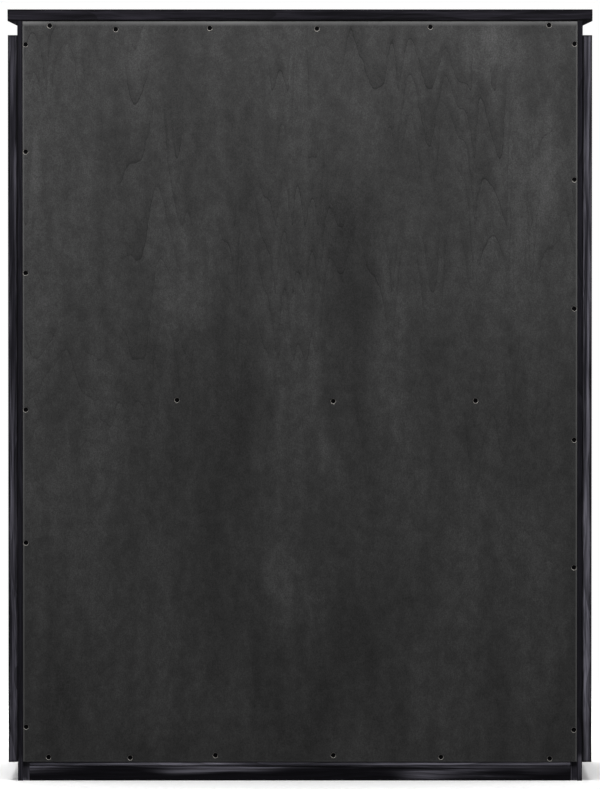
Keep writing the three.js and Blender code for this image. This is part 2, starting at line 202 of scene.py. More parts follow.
def black_finish(name, ground, rubbed, wear, arris, arris_shade_width, scuffs=None):
    """Hardwood stained and sprayed satin black, then rubbed: a close, cold black in which the grain still
    shows, greyer where the coat is thin. wear is how much of it is rubbed, 0 to 1, arris the colour of the
    edges, a painted shade where it is darker than the coat, and scuffs the two heights in mm between which
    rubbing begins and is complete: a band of rubbing by height that stands for painted light on the part
    the lamps catch and painted shade on the rest."""
    material, tree, output = new_material(name)
    place, rings, fibres = wood_figure(tree, ring=5, wander=38)
    long = add(tree, "ShaderNodeVectorMath", {0: place, 1: (5, 240, 240)}, operation="MULTIPLY").outputs[0]
    streaks = add(tree, "ShaderNodeTexNoise", {"Vector": long, "Scale": 1, "Detail": 3}).outputs["Fac"]
    wide = add(tree, "ShaderNodeVectorMath", {0: place, 1: (3, 14, 14)}, operation="MULTIPLY").outputs[0]
    patches = add(tree, "ShaderNodeTexNoise", {"Vector": wide, "Scale": 1, "Detail": 2}).outputs["Fac"]
    both = add(tree, "ShaderNodeMix", {0: 0.5, 2: streaks, 3: patches}).outputs[0]
    worn = {0: both, 1: 0.4, 2: 0.62}
    rub = add(tree, "ShaderNodeMapRange", worn, interpolation_type="SMOOTHSTEP").outputs[0]
    rub = add(tree, "ShaderNodeMath", {0: rub, 1: wear}, operation="MULTIPLY").outputs[0]
    near, deep = arris_distance(tree)
    handled = add(tree, "ShaderNodeMapRange", {0: near, 1: 8 * MM, 2: 50 * MM, 3: 1, 4: 0.22}).outputs[0]
    rub = add(tree, "ShaderNodeMath", {0: rub, 1: handled}, operation="MULTIPLY").outputs[0]
    # The rubbing pad hardly gets into rabbets and housings, and these are left darker: partly real wear,
    # partly a painted shade of the recess.
    pad_reach_and_recess_shade = add(tree, "ShaderNodeMapRange", {0: deep, 1: 1 * MM, 2: 6 * MM, 3: 1, 4: 0.25}).outputs[0]
    rub = add(tree, "ShaderNodeMath", {0: rub, 1: pad_reach_and_recess_shade}, operation="MULTIPLY").outputs[0]
    # Rubbing only within a band by height: painted light where the lamps catch the board, painted shade
    # towards the floor.
    if scuffs:
        height = add(tree, "ShaderNodeTexCoord").outputs["Object"]
        height = add(tree, "ShaderNodeSeparateXYZ", {0: height}).outputs["Z"]
        uneven = {0: patches, 1: 0.35, 2: 0.65, 3: 14 * MM, 4: -8 * MM}
        start = add(tree, "ShaderNodeMapRange", uneven).outputs[0]
        height = add(tree, "ShaderNodeMath", {0: height, 1: start}, operation="SUBTRACT").outputs[0]
        ends = {0: height, 1: scuffs[0] * MM, 2: scuffs[1] * MM}
        light_and_shade_by_height = add(tree, "ShaderNodeMapRange", ends, interpolation_type="SMOOTHSTEP").outputs[0]
        rub = add(tree, "ShaderNodeMath", {0: rub, 1: light_and_shade_by_height}, operation="MULTIPLY").outputs[0]
    shades = {0: rub, 6: linear(ground), 7: linear(rubbed)}
    coat = add(tree, "ShaderNodeMix", shades, data_type="RGBA").outputs[2]
    grain = add(tree, "ShaderNodeMath", {0: rings, 1: fibres}, operation="MULTIPLY").outputs[0]
    shade = add(tree, "ShaderNodeMapRange", {0: grain, 1: 0, 2: 0.6, 3: 1.15, 4: 0.5}).outputs[0]
    fleck = add(tree, "ShaderNodeMapRange", {0: fibres, 1: 0.3, 2: 0.7, 3: 0.62, 4: 1.38}).outputs[0]
    shade = add(tree, "ShaderNodeMath", {0: shade, 1: fleck}, operation="MULTIPLY").outputs[0]
    coat = add(tree, "ShaderNodeVectorMath", {0: coat, "Scale": shade}, operation="SCALE").outputs[0]
    # The coat is mixed towards the arris colour in a ragged band at every arris. Where that colour is darker,
    # this is a painted shade of the eased edge turning from the lamps.
    ragged = add(tree, "ShaderNodeMapRange", {0: fibres, 1: 0.3, 2: 0.7, 3: 0.5, 4: 1.5}).outputs[0]
    near = add(tree, "ShaderNodeMath", {0: near, 1: ragged}, operation="MULTIPLY").outputs[0]
    edge = add(tree, "ShaderNodeMapRange", {0: near, 1: 0, 2: arris_shade_width * MM, 3: 1, 4: 0}).outputs[0]
    colour = add(tree, "ShaderNodeMix", {0: edge, 6: coat, 7: linear(arris)}, data_type="RGBA").outputs[2]
    gloss = add(tree, "ShaderNodeMapRange", {0: fibres, 1: 0.3, 2: 0.7, 3: 0.34, 4: 0.46}).outputs[0]
    relief = add(tree, "ShaderNodeMath", {0: fibres, 1: grain}, operation="SUBTRACT").outputs[0]
    bump = add(tree, "ShaderNodeBump", {"Strength": 0.25, "Distance": 0.15 * MM, "Height": relief}).outputs[0]
    inputs = {"Base Color": colour, "Roughness": gloss, "IOR": 1.5, "Specular IOR Level": 0.12}
    surface = add(tree, "ShaderNodeBsdfPrincipled", {**inputs, "Normal": bump})
    tree.links.new(surface.outputs[0], output.inputs[0])
    return material


# Rubbed lighter only below 28 to 40 mm, a painted light where the lamps catch the foot of the rear edge, and
# near black at the arrises as painted shade.
side_black_painted_light_and_shade = black_finish("black_sprayed_hardwood_sides", "#1d1c22", "#6b6973", 1, "#060609", 1.5, (40, 28))
SIDES = ("left", "right")
for side in SIDES:
    board(f"side_panel_{side}", "ZYX", side_black_painted_light_and_shade, "black_finish", ease=0.8)

# ------------------------------------------------------------------------------------------ cross members
# Rails tenoned into the side panels, five boards and a case bottom housed in dadoes, and two kicker strips
# under the top. They are sprayed with the case. The two low ones at the back are rubbed, and painted much
# lighter than the rest: a painted light on the strip under the back panel, and on the base rail a painted
# light along its upper edge and painted shade towards the floor.

frame_black = black_finish("black_sprayed_hardwood_frame", "#131217", "#2a292e", 0.6, "#1c1b20", 1.2)
DRAWERS = range(1, 7)
for member in ("top_front_rail", "top_back_rail", "base_rail_front", "bottom_panel"):
    board(member, "XYZ", frame_black, "black_finish")
for number in DRAWERS[:-1]:
    board(f"divider_{number}", "XYZ", frame_black, "black_finish")
for side in SIDES:
    board(f"kicker_{side}", "YXZ", frame_black, "black_finish", ease=0.5)

# Ground and rubbed colours raised well above the frame's, a painted light on a strip that the panel shades.
rail_black_painted_light = black_finish("black_brushed_hardwood_rail", "#3b3a42", "#807e89", 1, "#3e3d44", 1)
board("bottom_back_rail", "XZY", rail_black_painted_light, "black_finish", ease=0.5)
# Rubbed pale above 22 mm and near black below 6 mm: painted light along the upper edge, painted shade towards
# the floor.
base_black_painted_light_and_shade = black_finish("black_brushed_hardwood_base", "#100f14", "#7b7984", 1, "#1c1b20", 1, (6, 22))
board("base_rail_back", "XZY", base_black_painted_light_and_shade, "black_finish", ease=0.5)

# ------------------------------------------------------------------------------------------ side overlays
# A second, thicker skin is planted on each side panel, short of the top and of the floor. Its rear edge is
# where the finish is rubbed the thinnest, apart from its outer arris, which is painted black: a painted
# shade of the rounded edge.

for side, rubbed in (("left", "#7a7883"), ("right", "#605e68")):
    black = black_finish(f"black_sprayed_hardwood_{side}", "#1f1e24", rubbed, 0.85, "#000000", 4)
    board(f"side_overlay_{side}", "ZYX", black, "black_finish", ease=0.25)

# ------------------------------------------------------------------------------------------ top
# One thick board with square edges laid over the case. Bevelled mouldings under its overhang, mitred at the
# front corners, leave a shadow gap above the drawers and the sides.

# Its arrises are painted black, a painted shade along the edges.
top_black = black_finish("black_sprayed_hardwood_top", "#0d0c11", "#28262d", 0.8, "#000000", 3)
board("top_panel", "XYZ", top_black, "black_finish", ease=0.3)
board("bevel_moulding_front", "XYZ", top_black, "black_finish", ease=0.3)
for side in SIDES:
    board(f"bevel_moulding_{side}", "YXZ", top_black, "black_finish", ease=0.3)

# ------------------------------------------------------------------------------------------ back panel
# A sheet of 6 mm rotary-cut birch plywood set in the case's rabbets. It is wiped with charcoal stain, which
# the veneer takes up unevenly, and its sanded edges stay pale.


# Where the stain went on twice, or was wiped nearly off, and in the last row a painted shade over the
# lower part of the sheet: middle in x and z, half sizes in x and z, and gain.
WIPES_AND_SHADE = (
    (99, 730, 60, 400, 0.68),
    (-83, 720, 52, 330, 0.68),
    (182, 420, 62, 330, 0.78),
    (-330, 1205, 60, 45, 1.4),
    (-405, 1040, 45, 90, 1.3),
    (421, 1060, 40, 120, 1.2),
    (22, 320, 45, 75, 1.3),
    (5, 640, 40, 260, 1.25),
    (440, 850, 70, 220, 1.12),
    (-440, 850, 70, 220, 1.12),
    (232, 105, 34, 50, 1.2),
    # Painted shade: darker across the whole width towards the floor, standing for light that falls off down
    # the sheet.
    (0, 60, 900, 420, 0.8),
)


def stained_plywood(name, node):
    """Rotary-cut veneer, wiped with stain: a matt neutral grey, cloudy, with growth rings that the peeler's
    knife has drawn as nested points, each a fine dark line that fades upwards, and short open pores."""
    low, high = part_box(node)
    material, tree, output = new_material(name)
    place = add(tree, "ShaderNodeTexCoord").outputs["Object"]

    def noise(scale, detail=2, source=place, kind="Fac"):
        stretched = add(tree, "ShaderNodeVectorMath", {0: source, 1: scale}, operation="MULTIPLY").outputs[0]
        inputs = {"Vector": stretched, "Scale": 1, "Detail": detail, "Roughness": 0.55}
        return add(tree, "ShaderNodeTexNoise", inputs).outputs[kind]

    def ranged(value, low_in, high_in, low_out, high_out):
        ends = {1: low_in, 2: high_in, 3: low_out, 4: high_out}
        return add(tree, "ShaderNodeMapRange", {0: value, **ends}, interpolation_type="SMOOTHSTEP").outputs[0]

    def maths(operation, *values):
        return add(tree, "ShaderNodeMath", dict(enumerate(values)), operation=operation).outputs[0]

    def shaken(scale, reach):
        pushes = {0: noise(scale, 2, place, "Color"), 1: (0.5, 0.5, 0.5)}
        push = add(tree, "ShaderNodeVectorMath", pushes, operation="SUBTRACT")
        push = add(tree, "ShaderNodeVectorMath", {0: push.outputs[0], "Scale": reach * MM}, operation="SCALE")
        return add(tree, "ShaderNodeVectorMath", {0: place, 1: push.outputs[0]}, operation="ADD").outputs[0]

    tone = ranged(noise((10, 1, 3)), 0.3, 0.7, 0.8, 1.2)
    tone = maths("MULTIPLY", tone, ranged(noise((38, 1, 7)), 0.3, 0.7, 0.91, 1.09))
    tone = maths("MULTIPLY", tone, ranged(noise((62, 1, 48), 3), 0.3, 0.7, 0.86, 1.14))
    tone = maths("MULTIPLY", tone, ranged(noise((300, 1, 210), 2), 0.3, 0.7, 0.9, 1.1))
    tone = maths("MULTIPLY", tone, ranged(noise((760, 1, 560), 2), 0.25, 0.75, 0.68, 1.32))
    cloudy = shaken((22, 1, 9), 90)
    for x, z, half_x, half_z, gain in WIPES_AND_SHADE:
        away = add(tree, "ShaderNodeVectorMath", {0: cloudy, 1: (x * MM, 0, z * MM)}, operation="SUBTRACT")
        halves = {0: away.outputs[0], 1: (1 / (half_x * MM), 0, 1 / (half_z * MM))}
        away = add(tree, "ShaderNodeVectorMath", halves, operation="MULTIPLY")
        away = add(tree, "ShaderNodeVectorMath", {0: away.outputs[0]}, operation="LENGTH").outputs["Value"]
        tone = maths("MULTIPLY", tone, ranged(away, 0.2, 1.3, gain, 1))

    # The rings' nested points: level lines of height less a folded noise, so that each point is turned down.
    bent = shaken((90, 1, 50), 7)
    folds = maths("ABSOLUTE", maths("SUBTRACT", noise((15, 1, 1.1), 1, bent), 0.5))
    soft = maths("SQRT", maths("ADD", maths("MULTIPLY", folds, folds), 0.0004))
    height = add(tree, "ShaderNodeSeparateXYZ", {0: bent}).outputs["Z"]
    level = maths("SUBTRACT", maths("MULTIPLY", height, 9), maths("MULTIPLY", soft, 13))
    ring = maths("FRACT", level)
    line = maths("MULTIPLY", ranged(ring, 0, 0.06, 0.5, 1), ranged(ring, 0, 0.6, 0.8, 1))
    shown = maths("MULTIPLY", ranged(noise((5, 1, 4), 1), 0.4, 0.52, 0, 1), ranged(folds, 0.1, 0.2, 1, 0))
    shown = maths("MULTIPLY", shown, ranged(height, 0.35, 1.0, 0.25, 1))
    figure = add(tree, "ShaderNodeMix", {0: shown, 2: 1.0, 3: line}).outputs[0]
    pores = ranged(noise((900, 1, 110), 1), 0.6, 0.75, 1, 0.8)
    tone = maths("MULTIPLY", tone, maths("MULTIPLY", pores, figure))

    # Sanding with a block after staining cuts through at the edges: 9 mm deep along the top, 3 mm elsewhere.
    x, _, z = add(tree, "ShaderNodeSeparateXYZ", {0: place}).outputs
    across = maths("ABSOLUTE", x)
    top_rub = ranged(z, high.z - 9 * MM, high.z, 0, 1)
    top_rub = maths("MULTIPLY", top_rub, ranged(noise((4, 1, 1)), 0.35, 0.65, 0.45, 1.15))
    side_rub = ranged(across, high.x - 3.5 * MM, high.x, 0, 0.45)
    low_rub = ranged(z, low.z, low.z + 3 * MM, 0.08, 0)
    rub = maths("MINIMUM", maths("MAXIMUM", maths("MAXIMUM", top_rub, side_rub), low_rub), 1.0)
    stain = add(tree, "ShaderNodeVectorMath", {0: linear("#3c3c3c")[:3], "Scale": tone}, operation="SCALE")
    ends = {0: rub, 6: stain.outputs[0], 7: linear("#7e7e7e")}
    colour = add(tree, "ShaderNodeMix", ends, data_type="RGBA").outputs[2]
    # The countersinks and the sheet's edges were cut after the staining, and show bare birch.
    facing = add(tree, "ShaderNodeNewGeometry").outputs["True Normal"]
    facing = add(tree, "ShaderNodeSeparateXYZ", {0: facing}).outputs["Y"]
    bare = maths("LESS_THAN", maths("ABSOLUTE", facing), 0.9)
    ends = {0: bare, 6: colour, 7: linear("#b0aca6")}
    colour = add(tree, "ShaderNodeMix", ends, data_type="RGBA").outputs[2]
    gloss = ranged(noise((30, 1, 8), 3), 0.3, 0.7, 0.5, 0.7)
    relief = maths("MULTIPLY", pores, figure)
    bump = add(tree, "ShaderNodeBump", {"Strength": 0.35, "Distance": 0.15 * MM, "Height": relief}).outputs[0]
    inputs = {"Base Color": colour, "Roughness": gloss, "IOR": 1.5, "Specular IOR Level": 0.25}
    surface = add(tree, "ShaderNodeBsdfPrincipled", {**inputs, "Normal": bump})
    tree.links.new(surface.outputs[0], output.inputs[0])
    return material


plywood_grey = stained_plywood("charcoal_stained_birch_plywood", "back_panel")
board("back_panel", "ZXY", plywood_grey, "stained_plywood", ease=0)

# ------------------------------------------------------------------------------------------ back screws
# Steel wood screws, black phosphated, driven by hand through the panel into rabbets, rails and the middle
# divider. Each head sits a little below the face, so the countersink's raw cone shows round it.

TOP_SCREWS = ((413, 1248), (304, 1242), (149, 1244), (-28, 1243), (-215, 1246), (-411, 1249))
MIDDLE_SCREWS = ((203, 630), (-55, 628), (-290, 629))
BOTTOM_SCREWS = ((416, 39), (281, 38), (140, 42), (-55, 42), (-233, 39), (-413, 36.5))
RIGHT_EDGE_SCREWS = (1217, 1040, 840, 614, 394, 89)
LEFT_EDGE_SCREWS = (1218, 994, 781, 564, 353, 84)
EDGE_SCREW_IN = 4.75


def turned(name, profile, sides):
    """A closed mesh turned about Y. profile is (radius, distance along Y) in mm, from axis to axis."""
    bm = bmesh.new()
    rings = []
    for radius, along in profile:
        turns = [2 * math.pi * i / sides for i in range(sides if radius else 1)]
        spots = [(radius * math.sin(t) * MM, along * MM, radius * math.cos(t) * MM) for t in turns]
        rings.append([bm.verts.new(spot) for spot in spots])
    for one, other in zip(rings, rings[1:]):
        for i in range(sides):
            j = i + 1
            corners = [one[i % len(one)], one[j % len(one)], other[j % len(other)], other[i % len(other)]]
            bm.faces.new(dict.fromkeys(corners))
    bmesh.ops.recalc_face_normals(bm, faces=bm.faces)
    mesh = bpy.data.meshes.new(name)
    bm.to_mesh(mesh)
    bm.free()
    return mesh


def cross_slot(head_radius, depth):
    """The driver's bit: two crossed blades that taper from y = 0.3 mm to depth below y = 0. Their lengths and
    widths are parts of the head's radius."""
    bm = bmesh.new()
    for turned_over in (False, True):
        corners = []
        for length, width, along in ((0.58, 0.14, 0.3), (0.2, 0.1, -depth)):
            for sign_l, sign_w in ((-1, -1), (1, -1), (1, 1), (-1, 1)):
                x, z = sign_l * length * head_radius, sign_w * width * head_radius
                x, z = (-z, x) if turned_over else (x, z)
                corners.append(bm.verts.new((x * MM, along * MM, z * MM)))
        bm.faces.new(corners[:4])
        bm.faces.new(corners[7:3:-1])
        for i in range(4):
            j = (i + 1) % 4
            bm.faces.new((corners[i], corners[4 + i], corners[4 + j], corners[j]))
    bmesh.ops.recalc_face_normals(bm, faces=bm.faces)
    mesh = bpy.data.meshes.new("driver_bit")
    bm.to_mesh(mesh)
    bm.free()
    return mesh


def screw(name, profile, head_radius, slot_depth):
    """A screw less the driver's bit, a pattern to repeat."""
    pattern = new_piece(name, turned(name, profile, sides=20))
    bit = new_piece(name + "_bit", cross_slot(head_radius, slot_depth))
    cut = pattern.modifiers.new("cross slot", "BOOLEAN")
    cut.operation = "DIFFERENCE"
    cut.solver = "EXACT"
    cut.use_self = True
    cut.object = bit
    settled(pattern)
    bpy.data.objects.remove(bit)
    return pattern


def repeating_tree():
    """Puts one pattern at each point of a mesh, each with a turn of its own, as one plain mesh."""
    tree = bpy.data.node_groups.new("repeat_at_points", "GeometryNodeTree")
    sockets = (
        ("Points", "NodeSocketGeometry"),
        ("Pattern", "NodeSocketObject"),
        ("Size", "NodeSocketFloat"),
        ("Least turn", "NodeSocketVector"),
        ("Most turn", "NodeSocketVector"),
        ("Seed", "NodeSocketInt"),
        ("Finish", "NodeSocketMaterial"),
    )
    for name, kind in sockets:
        tree.interface.new_socket(name, in_out="INPUT", socket_type=kind)
    tree.interface.new_socket("Pieces", in_out="OUTPUT", socket_type="NodeSocketGeometry")
    given = add(tree, "NodeGroupInput").outputs
    pattern = add(tree, "GeometryNodeObjectInfo", {"Object": given["Pattern"]}).outputs["Geometry"]
    turn = add(
        tree,
        "FunctionNodeRandomValue",
        {0: given["Least turn"], 1: given["Most turn"], "Seed": given["Seed"]},
        data_type="FLOAT_VECTOR",
    ).outputs[0]
    placed = add(
        tree,
        "GeometryNodeInstanceOnPoints",
        {"Points": given["Points"], "Instance": pattern, "Rotation": turn, "Scale": given["Size"]},
    ).outputs[0]
    plain = add(tree, "GeometryNodeRealizeInstances", {0: placed}).outputs[0]
    painted = add(tree, "GeometryNodeSetMaterial", {"Geometry": plain, "Material": given["Finish"]})
    add(tree, "NodeGroupOutput", {0: painted.outputs[0]})
    return tree


def grown(piece, tree, **sizes):
    """The piece with what the tree makes of it as its own plain mesh. sizes are the tree's named inputs."""
    modifier = piece.modifiers.new(tree.name, "NODES")
    modifier.node_group = tree
    for item in tree.interface.items_tree:
        name = item.name.lower().replace(" ", "_")
        if item.in_out == "INPUT" and name in sizes:
            modifier[item.identifier] = sizes[name]
    settled(piece)
    piece.data.shade_smooth()
    piece.data.set_sharp_from_angle(angle=SHARP)
    return piece


REPEAT = repeating_tree()


def repeated(name, pattern, places, finish, body, least=(0, 0, 0), most=(0, 0, 0), size=1.0):
    """Copies of a pattern at places in metres, on one body, each turned by between least and most."""
    points = bpy.data.meshes.new(name)
    points.from_pydata([tuple(place) for place in places], [], [])
    piece = new_piece(name, points)
    grown(
        piece,
        REPEAT,
        pattern=pattern,
        size=size,
        least_turn=least,
        most_turn=most,
        seed=len(name),
        finish=finish,
    )
    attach(piece, body)
    return piece


def plated_steel(name, colour, roughness, metallic):
    """Steel with a thin conversion or plated coat: dull metal, a little uneven where the driver rubbed it."""
    material, tree, output = new_material(name)
    place = add(tree, "ShaderNodeTexCoord").outputs["Object"]
    uneven = add(tree, "ShaderNodeTexNoise", {"Vector": place, "Scale": 900, "Detail": 2}).outputs["Fac"]
    tint = add(tree, "ShaderNodeMapRange", {0: uneven, 1: 0.3, 2: 0.7, 3: 0.7, 4: 1.3}).outputs[0]
    scaled = {0: linear(colour)[:3], "Scale": tint}
    colour = add(tree, "ShaderNodeVectorMath", scaled, operation="SCALE").outputs[0]
    gloss = add(tree, "ShaderNodeMapRange", {0: uneven, 3: roughness - 0.1, 4: roughness + 0.1}).outputs[0]
    inputs = {"Base Color": colour, "Roughness": gloss, "Metallic": metallic}
    surface = add(tree, "ShaderNodeBsdfPrincipled", inputs)
    tree.links.new(surface.outputs[0], output.inputs[0])
    return material


panel_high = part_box("back_panel")[1]
SUNK = 0.9  # screw heads below the panel's face
edge = panel_high.x / MM - EDGE_SCREW_IN
holes = [
    *TOP_SCREWS,
    *MIDDLE_SCREWS,
    *BOTTOM_SCREWS,
    *((edge, z) for z in RIGHT_EDGE_SCREWS),
    *((-edge, z) for z in LEFT_EDGE_SCREWS),
]
HEAD = 3.9  # countersunk head's radius
WOOD_SCREW = ((0, 0), (HEAD, 0), (HEAD, -0.25), (1.7, -2.2), (1.7, -12), (0, -14))
back_screw = screw("countersunk_screw", WOOD_SCREW, HEAD, slot_depth=1.6)
phosphated = plated_steel("black_phosphated_steel", "#121214", 0.5, 0.9)
repeated(
    "back_panel_screws",
    back_screw,
    [(x * MM, panel_high.y - SUNK * MM, z * MM) for x, z in holes],
    phosphated,
    "carcass",
    least=(-0.05, 0, -0.05),
    most=(0.05, math.pi, 0.05),
)
bpy.data.objects.remove(back_screw)

# ------------------------------------------------------------------------------------------ drawer boxes
# Sides and backs of clear-lacquered maple, half-blind dovetailed to the fronts and through dovetailed at the
# back. A birch plywood bottom slides into grooves from behind, under the drawer's back.


def lacquered_wood(name, early, late, end):
    """Planed hardwood under a thin clear lacquer: pale and warm, growth rings a shade darker, end grain
    darker still because it drinks the lacquer."""
    material, tree, output = new_material(name)
    _, rings, fibres = wood_figure(tree, ring=3.5, wander=26)
    figure = add(tree, "ShaderNodeMapRange", {0: rings, 3: 0.05, 4: 0.75}).outputs[0]
    seasons = {0: figure, 6: linear(early), 7: linear(late)}
    face = add(tree, "ShaderNodeMix", seasons, data_type="RGBA").outputs[2]
    fleck = add(tree, "ShaderNodeMapRange", {0: fibres, 1: 0.3, 2: 0.7, 3: 0.9, 4: 1.08}).outputs[0]
    face = add(tree, "ShaderNodeVectorMath", {0: face, "Scale": fleck}, operation="SCALE").outputs[0]
    spot = add(tree, "ShaderNodeAttribute", attribute_name="spot").outputs["Vector"]
    reach = add(tree, "ShaderNodeAttribute", attribute_name="reach").outputs["Vector"]
    along = add(tree, "ShaderNodeSeparateXYZ", {0: spot}).outputs["X"]
    along = add(tree, "ShaderNodeMath", {0: along}, operation="ABSOLUTE").outputs[0]
    length = add(tree, "ShaderNodeSeparateXYZ", {0: reach}).outputs["X"]
    short = add(tree, "ShaderNodeMath", {0: length, 1: along}, operation="SUBTRACT").outputs[0]
    sawn = add(tree, "ShaderNodeMath", {0: short, 1: 0.3 * MM}, operation="LESS_THAN").outputs[0]
    colour = add(tree, "ShaderNodeMix", {0: sawn, 6: face, 7: linear(end)}, data_type="RGBA").outputs[2]
    bump = add(tree, "ShaderNodeBump", {"Strength": 0.15, "Distance": 0.1 * MM, "Height": fibres}).outputs[0]
    inputs = {"Base Color": colour, "Roughness": 0.42, "IOR": 1.5, "Normal": bump}
    surface = add(tree, "ShaderNodeBsdfPrincipled", inputs)
    tree.links.new(surface.outputs[0], output.inputs[0])
    return material


maple = lacquered_wood("clear_lacquered_maple", "#d9bd92", "#b98f5e", "#a97e50")
birch_ply = lacquered_wood("clear_lacquered_birch_plywood", "#dcc49c", "#c2a074", "#b08a5c")
for number in DRAWERS:
    body = f"drawer_{number}"
    for side in SIDES:
        board(f"{body}_side_{side}", "YZX", maple, "drawer_wood", body, ease=0.3)
    board(f"{body}_back", "XZY", maple, "drawer_wood", body, ease=0.3)
    board(f"{body}_bottom", "XYZ", birch_ply, "drawer_plywood", body, ease=0.2)

# ------------------------------------------------------------------------------------------ drawer fronts
# Thick boards rebated round the back, so that a lip covers the case's edges. They are black like the case,
# with the grain across them.

front_black = black_finish("black_sprayed_hardwood_fronts", "#1f1e23", "#3a393f", 0.8, "#17161a", 1.5)
for number in DRAWERS:
    board(f"drawer_{number}_front", "XZY", front_black, "black_finish", f"drawer_{number}", ease=1)

# ------------------------------------------------------------------------------------------ pulls
# One cast and drawn brass bar on each drawer, bent square at both ends, on two turned roses. It is darkened
# and rubbed back by hand. Two steel screws through the drawer's front hold it.


def pull_tree():
    """A round bar on two posts: a path of four corners, its two middle ones rounded, swept, with a rose at
    each foot. It is made in the row's axes, with its feet on the drawer's face."""
    tree = bpy.data.node_groups.new("bar_pull", "GeometryNodeTree")
    tree.interface.new_socket("Geometry", in_out="INPUT", socket_type="NodeSocketGeometry")
    for name in ("Centres", "Reach", "Bar radius", "Bend radius"):
        tree.interface.new_socket(name, in_out="INPUT", socket_type="NodeSocketFloat")
    tree.interface.new_socket("Foot", in_out="INPUT", socket_type="NodeSocketVector")
    tree.interface.new_socket("Rose", in_out="INPUT", socket_type="NodeSocketObject")
    tree.interface.new_socket("Finish", in_out="INPUT", socket_type="NodeSocketMaterial")
    tree.interface.new_socket("Pull", in_out="OUTPUT", socket_type="NodeSocketGeometry")
    given = add(tree, "NodeGroupInput").outputs
    right = add(tree, "ShaderNodeMath", {0: given["Centres"], 1: 0.5}, operation="MULTIPLY").outputs[0]
    left = add(tree, "ShaderNodeMath", {0: given["Centres"], 1: -0.5}, operation="MULTIPLY").outputs[0]
    out = add(tree, "ShaderNodeMath", {0: given["Reach"], 1: -1.0}, operation="MULTIPLY").outputs[0]
    corners = [
        add(tree, "ShaderNodeCombineXYZ", {"X": x, "Y": y}).outputs[0]
        for x, y in ((left, 0.0), (left, out), (right, out), (right, 0.0))
    ]
    path = add(tree, "GeometryNodeCurvePrimitiveQuadrilateral", mode="POINTS")
    for number, corner in enumerate(corners, 1):
        tree.links.new(corner, path.inputs[f"Point {number}"])
    path = add(tree, "GeometryNodeSetSplineCyclic", {0: path.outputs[0], "Cyclic": False}).outputs[0]
    bent = add(
        tree,
        "GeometryNodeFilletCurve",
        {"Curve": path, "Radius": given["Bend radius"], "Count": 12, "Limit Radius": True},
        mode="POLY",
    ).outputs[0]
    section = add(tree, "GeometryNodeCurvePrimitiveCircle", {"Resolution": 28, "Radius": given["Bar radius"]})
    bar = add(
        tree,
        "GeometryNodeCurveToMesh",
        {"Curve": bent, "Profile Curve": section.outputs[0], "Fill Caps": True},
    ).outputs[0]
    feet = add(
        tree,
        "GeometryNodeMeshLine",
        {"Count": 2, "Start Location": corners[0], "Offset": corners[3]},
        mode="END_POINTS",
    ).outputs[0]
    rose = add(tree, "GeometryNodeObjectInfo", {"Object": given["Rose"]}).outputs["Geometry"]
    roses = add(tree, "GeometryNodeInstanceOnPoints", {"Points": feet, "Instance": rose}).outputs[0]
    joined = add(tree, "GeometryNodeJoinGeometry")
    tree.links.new(bar, joined.inputs[0])
    tree.links.new(roses, joined.inputs[0])
    moved = add(tree, "GeometryNodeTransform", {"Geometry": joined.outputs[0], "Translation": given["Foot"]})
    plain = add(tree, "GeometryNodeRealizeInstances", {0: moved.outputs[0]}).outputs[0]
    painted = add(tree, "GeometryNodeSetMaterial", {"Geometry": plain, "Material": given["Finish"]})
    add(tree, "NodeGroupOutput", {0: painted.outputs[0]})
    return tree


def rubbed_brass(name):
    """Brass darkened with a patina and rubbed back: brown-gold and soft, brighter where hands polish it."""
    material, tree, output = new_material(name)
    place = add(tree, "ShaderNodeTexCoord").outputs["Object"]
    clouds = add(tree, "ShaderNodeTexNoise", {"Vector": place, "Scale": 30, "Detail": 3}).outputs["Fac"]
    drawn = {0: place, 1: (90, 1400, 1400)}
    lines = add(tree, "ShaderNodeVectorMath", drawn, operation="MULTIPLY").outputs[0]
    lines = add(tree, "ShaderNodeTexNoise", {"Vector": lines, "Scale": 1, "Detail": 2}).outputs["Fac"]
    worn = add(tree, "ShaderNodeMapRange", {0: clouds, 1: 0.35, 2: 0.65}).outputs[0]
    dark, bright = linear("#7a6238"), linear("#a98a55")
    colour = add(tree, "ShaderNodeMix", {0: worn, 6: dark, 7: bright}, data_type="RGBA").outputs[2]
    gloss = add(tree, "ShaderNodeMapRange", {0: lines, 1: 0.3, 2: 0.7, 3: 0.24, 4: 0.42}).outputs[0]
    bump = add(tree, "ShaderNodeBump", {"Strength": 0.1, "Distance": 0.05 * MM, "Height": lines}).outputs[0]
    inputs = {"Base Color": colour, "Metallic": 1.0, "Roughness": gloss, "Normal": bump}
    surface = add(tree, "ShaderNodeBsdfPrincipled", inputs)
    tree.links.new(surface.outputs[0], output.inputs[0])
    return material


PULL = pull_tree()
brass = rubbed_brass("hand_rubbed_darkened_brass")
ROSE = ((0, 0), (9, 0), (9, -1.4), (8.2, -2), (7.2, -2.1), (6.6, -2.8), (6.2, -4), (0, -4))
rose = new_piece("rose", turned("rose", ROSE, sides=40))
pull_low, pull_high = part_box("drawer_1_pull")
BAR_RADIUS = 5 * MM
BEND_RADIUS = 12 * MM
PULL_CENTRES = 160 * MM
pull_reach = pull_high.y - pull_low.y - BAR_RADIUS
for number in DRAWERS:
    low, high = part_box(f"drawer_{number}_pull")
    pull = new_piece(f"drawer_{number}_bar_pull", bpy.data.meshes.new("bar_pull"))
    grown(
        pull,
        PULL,
        centres=PULL_CENTRES,
        reach=pull_reach,
        bar_radius=BAR_RADIUS,
        bend_radius=BEND_RADIUS,
        foot=(0, high.y, (low.z + high.z) / 2),
        rose=rose,
        finish=brass,
    )
    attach(pull, f"drawer_{number}")
    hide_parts(f"drawer_{number}_pull")
bpy.data.objects.remove(rose)

